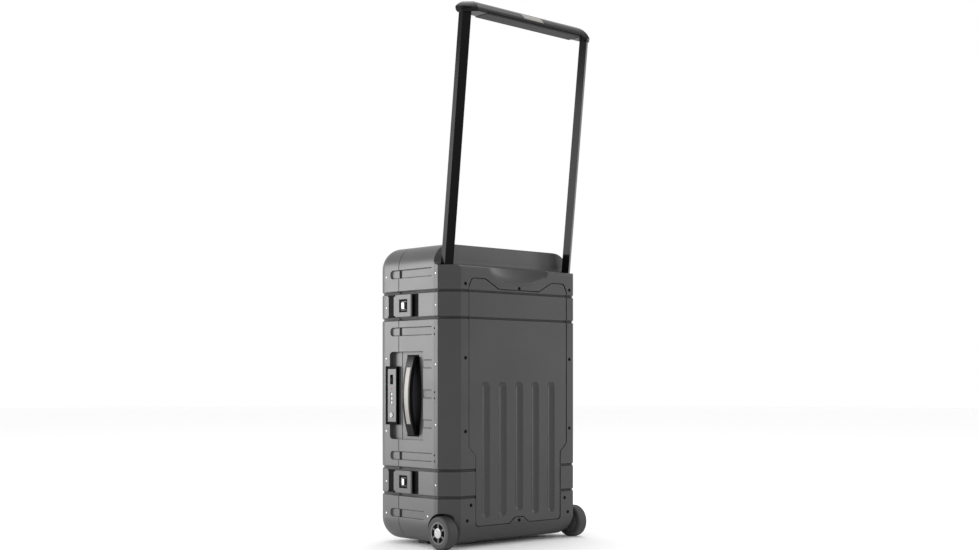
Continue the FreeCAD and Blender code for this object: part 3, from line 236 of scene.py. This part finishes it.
# %% Finish maker
def finish(name, colour, roughness, metallic=0.0, grain_scale=900.0, bump=0.15, bump_depth=0.0002,
           cloud=0.08, edge=0.0008, specular=0.5, sheen=0.0, edge_highlight=0.0):
    """A procedural surface; colour is linear grey or RGB."""
    material = bpy.data.materials.new(name)
    material.use_nodes = True
    tree = material.node_tree
    link = tree.links.new
    surface = tree.nodes["Principled BSDF"]
    surface.inputs["Metallic"].default_value = metallic
    surface.inputs["Specular IOR Level"].default_value = specular
    surface.inputs["Sheen Weight"].default_value = sheen
    texture = add_node(tree, "ShaderNodeGroup", node_tree=grain)
    texture.inputs["Scale"].default_value = grain_scale
    shade = add_node(tree, "ShaderNodeMapRange")
    shade.inputs["From Min"].default_value = 0.3
    shade.inputs["From Max"].default_value = 0.7
    link(texture.outputs["Cloud"], shade.inputs["Value"])
    tint = add_node(tree, "ShaderNodeMix", data_type="RGBA")
    dark = tuple(c * (1 - cloud) for c in colour)
    light = tuple(min(1.0, c * (1 + cloud)) for c in colour)
    tint.inputs["A"].default_value = (*dark, 1)
    tint.inputs["B"].default_value = (*light, 1)
    link(shade.outputs["Result"], tint.inputs["Factor"])
    colour_out = tint.outputs["Result"]
    # Painted highlight: the base colour is made lighter along sharp edges, in patches.
    if edge_highlight:
        highlight_mask = add_node(tree, "ShaderNodeGroup", node_tree=painted_edge_highlight)
        highlight_mix = add_node(tree, "ShaderNodeMix", data_type="RGBA")
        highlight_mix.inputs["B"].default_value = (*(min(1.0, c * (1 + edge_highlight)) for c in colour), 1)
        link(highlight_mask.outputs["Mask"], highlight_mix.inputs["Factor"])
        link(colour_out, highlight_mix.inputs["A"])
        colour_out = highlight_mix.outputs["Result"]
    link(colour_out, surface.inputs["Base Color"])
    gloss = add_node(tree, "ShaderNodeMapRange")
    gloss.inputs["From Min"].default_value = 0.3
    gloss.inputs["From Max"].default_value = 0.7
    gloss.inputs["To Min"].default_value = max(0.02, roughness - 0.04)
    gloss.inputs["To Max"].default_value = min(1.0, roughness + 0.04)
    link(texture.outputs["Cloud"], gloss.inputs["Value"])
    link(gloss.outputs["Result"], surface.inputs["Roughness"])
    relief = add_node(tree, "ShaderNodeBump")
    relief.inputs["Strength"].default_value = bump
    relief.inputs["Distance"].default_value = bump_depth
    link(texture.outputs["Height"], relief.inputs["Height"])
    if edge:
        softened = add_node(tree, "ShaderNodeBevel", samples=6)
        softened.inputs["Radius"].default_value = edge
        link(softened.outputs["Normal"], relief.inputs["Normal"])
    link(relief.outputs["Normal"], surface.inputs["Normal"])
    return material


def grey(value):
    """A neutral grey with a trace of blue."""
    return (value, value, value * 1.01)


# %% The finishes of this case
finishes = {
    "shell": finish("satin_shell", grey(0.052), 0.4, specular=0.5, edge_highlight=1.2),
    "frame": finish("satin_frame", grey(0.03), 0.38, specular=0.42, edge_highlight=2.2),
    "lining": finish("lining_fabric", grey(0.03), 0.9, bump=0.6, sheen=0.4, edge=0),
    "tube": finish("black_anodised_tube", grey(0.005), 0.18, bump=0.02, cloud=0.03, edge=0.0004,
                   specular=0.07),
    "grip": finish("grip_plastic", grey(0.006), 0.2, bump=0.05, specular=0.1),
    "pad": finish("soft_pad", grey(0.012), 0.7),
    "tyre": finish("tyre_rubber", grey(0.034), 0.58, grain_scale=600.0, bump=0.3, specular=0.3),
    "hub": finish("hub_plastic", grey(0.06), 0.4, edge_highlight=0.6),
    "steel": finish("rivet_steel", grey(0.62), 0.3, metallic=1.0, bump=0.05, edge=0.0004),
    "chrome": finish("polished_cap", grey(0.34), 0.24, metallic=1.0, bump=0.02, edge=0.0005),
    "latch": finish("black_fitting", grey(0.002), 0.55, bump=0.1, specular=0.04),
    "lever": finish("satin_lever", grey(0.06), 0.36, bump=0.08, specular=0.4, edge_highlight=1.0),
    "badge": finish("blank_badge", (0.24, 0.23, 0.21), 0.4, metallic=0.2, bump=0.05, specular=0.3),
    "dial": finish("dial_plastic", (0.62, 0.62, 0.58), 0.4, edge=0.0003),
    "seal": finish("seal_rubber", grey(0.006), 0.8, edge=0),
}
slot_of = {part["node"]: part["material_slot"] for part in frame["record"]["subparts"]}
for name, thing in nodes.items():
    thing.data.materials.clear()
    thing.data.materials.append(finishes[slot_of[name]])
# The latch buttons and the key cylinder have their own looks, whatever their slot.
finishes["button"] = finish("black_button", grey(0.006), 0.4, bump=0.04, edge=0.0004, specular=0.2)
finishes["key"] = finish("satin_metal", grey(0.16), 0.34, metallic=1.0, bump=0.04, edge=0.0004)
for name, look in (("latch_button_upper", "button"), ("latch_button_lower", "button"), ("lock_key", "key")):
    nodes[name].data.materials.clear()
    nodes[name].data.materials.append(finishes[look])
print("finishes:", len(finishes))

# %% [markdown]
# ## Fastener heads
# Real rivets are domed and real screws have a sunk drive, but the frame carries plain discs for them.
# Each disc's centre is read from the frame, and one profile is spun round it. A spun profile gives a
# clean dome with a true rim, which catches a point of light as a pressed head does.

# %% Finding the discs
def separate_pieces(node):
    """Lowest and highest corner of each separate solid in a node."""
    shape = bmesh.new()
    shape.from_mesh(nodes[node].data)
    bmesh.ops.remove_doubles(shape, verts=shape.verts, dist=1e-6)
    waiting = set(shape.verts)
    boxes = []
    while waiting:
        patch = [waiting.pop()]
        corners = []
        while patch:
            vert = patch.pop()
            corners.append(vert.co.copy())
            for edge in vert.link_edges:
                other = edge.other_vert(vert)
                if other in waiting:
                    waiting.remove(other)
                    patch.append(other)
        low = Vector(min(c[i] for c in corners) for i in range(3))
        high = Vector(max(c[i] for c in corners) for i in range(3))
        boxes.append((low, high))
    shape.free()
    return boxes


# %% Spinning a profile
def spun(shape, profile, at, along, steps=28):
    """Adds a solid of revolution; profile is (radius, height) pairs from the axis outwards."""
    start = len(shape.verts)
    ring = [shape.verts.new((radius, 0, height)) for radius, height in profile]
    edges = [shape.edges.new(pair) for pair in zip(ring, ring[1:])]
    bmesh.ops.spin(shape, geom=ring + edges, cent=(0, 0, 0), axis=(0, 0, 1), dvec=(0, 0, 0),
                   angle=math.tau, steps=steps, use_merge=True, use_duplicate=False)
    shape.verts.ensure_lookup_table()
    fresh = shape.verts[start:]
    turn = Vector((0, 0, 1)).rotation_difference(Vector(along)).to_matrix().to_4x4()
    bmesh.ops.transform(shape, matrix=Matrix.Translation(at) @ turn, verts=fresh)


def as_piece(name, shape, slot, body, smooth=True):
    """Turns a bmesh into a finished object that rides on a body."""
    bmesh.ops.remove_doubles(shape, verts=shape.verts, dist=1e-6)
    bmesh.ops.recalc_face_normals(shape, faces=shape.faces)
    mesh = bpy.data.meshes.new(name)
    shape.to_mesh(mesh)
    shape.free()
    for polygon in mesh.polygons:
        polygon.use_smooth = smooth
    mesh.materials.append(finishes[slot])
    piece = bpy.data.objects.new(name, mesh)
    bpy.context.scene.collection.objects.link(piece)
    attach(piece, body)
    print(name, len(mesh.polygons), "faces")
    return piece


# %% Screws and rivets
def screw_profile(radius, height):
    """A low dome with a round sunk drive."""
    return ((0, height * 0.15), (radius * 0.3, height * 0.15), (radius * 0.36, height * 0.75),
            (radius * 0.6, height), (radius * 0.86, height * 0.8), (radius, height * 0.3), (radius, 0),
            (0, 0))


def rivet_profile(radius, height):
    """A plain dome."""
    return ((0, height), (radius * 0.45, height * 0.9), (radius * 0.8, height * 0.55), (radius, 0.0001),
            (radius, 0), (0, 0))


heads = bmesh.new()
for low, high in separate_pieces("frame_screws"):
    middle = (low + high) / 2
    spun(heads, screw_profile((high.x - low.x) / 2, high.y - low.y),
         (middle.x, low.y, middle.z), (0, 1, 0))
screws = as_piece("domed_screws", heads, "latch", "back_half")
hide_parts("frame_screws")

for node, body in (("rivets_back", "back_half"), ("rivets_lid", "lid")):
    heads = bmesh.new()
    for low, high in separate_pieces(node):
        middle = (low + high) / 2
        outward = 1 if middle.x > 0 else -1
        root = low.x if outward > 0 else high.x
        spun(heads, rivet_profile((high.z - low.z) / 2, high.x - low.x),
             (root, middle.y, middle.z), (outward, 0, 0))
    domes = as_piece("domed_" + node, heads, "steel", body)
    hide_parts(node)

# %% [markdown]
# ## Wheel faces
# A small luggage wheel is moulded with a few spokes between its rim and its cap. The gaps between them
# lie in shadow and look black, so a dark ring is laid in the hub's dish as a painted shadow, and equal
# bevelled spokes are turned into their places round the axle, because a real mould repeats exactly.

# %% Spokes
def wheel_face(side):
    """The painted shadow ring and the spokes in one wheel's outer face."""
    sign = 1 if side == "right" else -1
    hub_low, hub_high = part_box("hub_" + side)
    cap_low, cap_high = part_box("hub_cap_" + side)
    centre = (hub_low + hub_high) / 2
    face = hub_high.x if sign > 0 else hub_low.x
    dish = 3 * millimetre
    inner = (cap_high.z - cap_low.z) / 2 + 0.2 * millimetre
    outer = (hub_high.z - hub_low.z) / 2 - dish - 0.2 * millimetre
    # A dark ring in the hub's dish: painted shadow for the gaps between the spokes.
    shadow_ring = bmesh.new()
    spun(shadow_ring, ((inner, 0.05 * millimetre), (inner, 0.4 * millimetre), (outer, 0.4 * millimetre),
                  (outer, 0.05 * millimetre), (inner, 0.05 * millimetre)),
         (face - sign * dish, centre.y, centre.z), (sign, 0, 0), 48)
    as_piece("wheel_shadow_" + side, shadow_ring, "latch", "wheel_" + side, smooth=False)
    spokes = bmesh.new()
    spoke_count = 6
    for n in range(spoke_count):
        made = bmesh.ops.create_cube(spokes, size=1)["verts"]
        bmesh.ops.scale(spokes, vec=(2.2 * millimetre, 3.6 * millimetre, outer - inner), verts=made)
        bmesh.ops.translate(spokes, vec=(0, 0, (outer + inner) / 2), verts=made)
        edges = {edge for vert in made for edge in vert.link_edges}
        bevelled = bmesh.ops.bevel(spokes, geom=list(edges), offset=0.5 * millimetre, offset_type="OFFSET",
                                   segments=2, profile=0.5, affect="EDGES", material=-1)
        corners = {vert for patch in bevelled["faces"] for vert in patch.verts}
        corners |= {vert for vert in made if vert.is_valid}
        turn = Matrix.Rotation(math.tau * n / spoke_count, 3, "X")
        bmesh.ops.rotate(spokes, cent=(0, 0, 0), matrix=turn, verts=list(corners))
    lift = face - sign * (dish - 1.6 * millimetre)
    bmesh.ops.translate(spokes, vec=(lift, centre.y, centre.z), verts=spokes.verts)
    as_piece("wheel_spokes_" + side, spokes, "hub", "wheel_" + side, smooth=False)


wheel_face("right")
wheel_face("left")

# %% [markdown]
# ## Latch details
# A latch's button sits in a trough with a dark liner. The liner is a thin square collar: a grid face
# is inset, its middle is taken out, and the rest is given a thickness. The button is black, with a
# small bright bar on its face.

# %% Button collars
def button_collar(which):
    """The dark square collar on the floor of the trough round a latch button."""
    low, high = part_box("latch_button_" + which)
    lever_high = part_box("latch_lever_" + which)[1]
    middle = (low + high) / 2
    room = 5.2 * millimetre
    outer = (high.z - low.z) + 2 * room
    shape = bmesh.new()
    bmesh.ops.create_grid(shape, x_segments=1, y_segments=1, size=outer / 2)
    ring = bmesh.ops.inset_region(shape, faces=shape.faces[:], thickness=room - 0.4 * millimetre,
                                  use_boundary=True)["faces"]
    bmesh.ops.delete(shape, geom=[f for f in shape.faces if f not in ring], context="FACES")
    bmesh.ops.solidify(shape, geom=shape.faces[:], thickness=0.5 * millimetre)
    bmesh.ops.rotate(shape, cent=(0, 0, 0), matrix=Matrix.Rotation(math.radians(90), 3, "Y"),
                     verts=shape.verts)
    trough_floor = lever_high.x - 1.45 * millimetre
    lowest = min(vert.co.x for vert in shape.verts)
    bmesh.ops.translate(shape, vec=(trough_floor - lowest, middle.y, middle.z), verts=shape.verts)
    as_piece("button_collar_" + which, shape, "latch", "latch_" + which, smooth=False)


# %% Bright marks
def button_mark(which):
    """A small bevelled bar of bright metal on a button's face."""
    low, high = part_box("latch_button_" + which)
    size = (0.7 * millimetre, (high.y - low.y) * 0.42, (high.z - low.z) * 0.85)
    shape = bmesh.new()
    bmesh.ops.create_cube(shape, size=1)
    bmesh.ops.scale(shape, vec=size, verts=shape.verts)
    bmesh.ops.bevel(shape, geom=shape.edges[:], offset=0.25 * millimetre, offset_type="OFFSET",
                    segments=2, profile=0.5, affect="EDGES", material=-1)
    middle = (low + high) / 2
    bmesh.ops.translate(shape, vec=(high.x, middle.y, middle.z), verts=shape.verts)
    as_piece("button_mark_" + which, shape, "steel", "latch_button_" + which, smooth=False)


for which in ("upper", "lower"):
    button_collar(which)
    button_mark(which)

# %% [markdown]
# ## Lock details
# Beside its dials a lock like this has a small coloured bead that shows whether it is set. The bead is
# a spun dome between the slider and the nearest dial.

# %% Bead
plate_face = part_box("lock_plate")[1].x
slider_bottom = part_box("lock_slider")[0].z
dial_low, dial_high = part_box("lock_dial_3")
bead_drop = 2 * millimetre
bead_level = (slider_bottom + dial_high.z) / 2 - bead_drop
finishes["bead"] = finish("red_bead", (0.42, 0.05, 0.035), 0.3, bump=0.02, edge=0)
bead = bmesh.new()
spun(bead, rivet_profile(1.7 * millimetre, 0.7 * millimetre),
     (plate_face, (dial_low.y + dial_high.y) / 2, bead_level), (1, 0, 0))
bead_piece = as_piece("set_bead", bead, "dial", "lid")
bead_piece.data.materials.clear()
bead_piece.data.materials.append(finishes["bead"])

# %% [markdown]
# ## Frame slots, painted as shade
# The corner frame is fixed to the back half along its front edge, through small slots that show in pairs
# on the side face. Their dark insides are painted shade: each is a very low, dark spun dome.

# %% Pairs of painted slot shadows
slot_shade_radius = 1.7 * millimetre
slot_shade_height = 0.2 * millimetre
slot_inset = 1.5 * millimetre
pair_levels = (114.5, -2, -117)
pair_spread = 5.5
# Dark domes in the black fitting finish: painted shade for the insides of the slots.
slot_shade_domes = bmesh.new()
for rise in pair_levels:
    for shift in (-pair_spread, pair_spread):
        level = body_middle + (rise + shift) * millimetre
        spun(slot_shade_domes, rivet_profile(slot_shade_radius, slot_shade_height),
             (half_width, frame_edge + slot_inset, level), (1, 0, 0), 16)
as_piece("frame_slot_shadows", slot_shade_domes, "latch", "back_half")

# %% [markdown]
# ## Linings
# The inside is lined with quilted cloth over thin foam. A slab slightly smaller than the lining is
# blown up a little with Cloth pressure, which rounds its edges and crowns it as stuffing does. The
# quilting comes afterwards: points near the stitch lines are pressed back towards the wall.

# %% Padded slab
def padded_slab(name, node, body, wall_side):
    """A quilted pad in the space of a lining; wall_side is -1 where the wall is towards -Y."""
    low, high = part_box(node)
    size = high - low
    middle = (low + high) / 2
    swell = 1.6 * millimetre
    cloth_frames = 20
    shape = bmesh.new()
    bmesh.ops.create_cube(shape, size=1)
    bmesh.ops.scale(shape, vec=size - Vector((2 * swell,) * 3), verts=shape.verts)
    bmesh.ops.translate(shape, vec=middle, verts=shape.verts)
    mesh = bpy.data.meshes.new(name)
    shape.to_mesh(mesh)
    shape.free()
    pad = bpy.data.objects.new(name, mesh)
    bpy.context.scene.collection.objects.link(pad)
    voxels = pad.modifiers.new("voxels", "REMESH")
    voxels.mode = "VOXEL"
    voxels.voxel_size = 0.0045
    bake_shape(pad)
    start = [vert.co.copy() for vert in pad.data.vertices]
    cloth = pad.modifiers.new("cloth", "CLOTH")
    cloth.settings.use_pressure = True
    cloth.settings.uniform_pressure_force = 4
    cloth.settings.effector_weights.gravity = 0
    for step in range(1, cloth_frames + 1):
        bpy.context.scene.frame_set(step)
    bake_shape(pad)
    bpy.context.scene.frame_set(1)
    for vert, before in zip(pad.data.vertices, start):
        move = vert.co - before
        if move.length > swell:
            vert.co = before + move.normalized() * swell
    quilt(pad, low, high, wall_side)
    return finish_pad(pad, node, body)


# %% Pad helpers
def bake_shape(thing):
    """Replaces a mesh by its modified shape and drops the modifiers."""
    result = bpy.data.meshes.new_from_object(thing.evaluated_get(bpy.context.evaluated_depsgraph_get()))
    thing.modifiers.clear()
    thing.data = result


def quilt(pad, low, high, wall_side):
    """Presses in the stitch lines of a diamond pattern on the side away from the wall."""
    pitch = 55 * millimetre
    stitch_width = 5 * millimetre
    depth = (high.y - low.y) * 0.45
    middle = (low.y + high.y) / 2
    for vert in pad.data.vertices:
        if (vert.co.y - middle) * wall_side > 0:
            continue
        rising = abs(((vert.co.x + vert.co.z) / pitch) % 1 - 0.5)
        falling = abs(((vert.co.x - vert.co.z) / pitch) % 1 - 0.5)
        press = math.exp(-((min(rising, falling) * pitch / stitch_width) ** 2))
        vert.co.y += wall_side * depth * press


def finish_pad(pad, node, body):
    """Gives a pad its cloth, and lets it stand for a lining."""
    for polygon in pad.data.polygons:
        polygon.use_smooth = True
    pad.data.materials.clear()
    pad.data.materials.append(finishes["lining"])
    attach(pad, body)
    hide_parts(node)
    print(pad.name, len(pad.data.polygons), "faces")
    return pad


padded_slab("quilted_lining_back", "liner_back", "back_half", 1)
padded_slab("quilted_lining_lid", "liner_lid", "lid", -1)
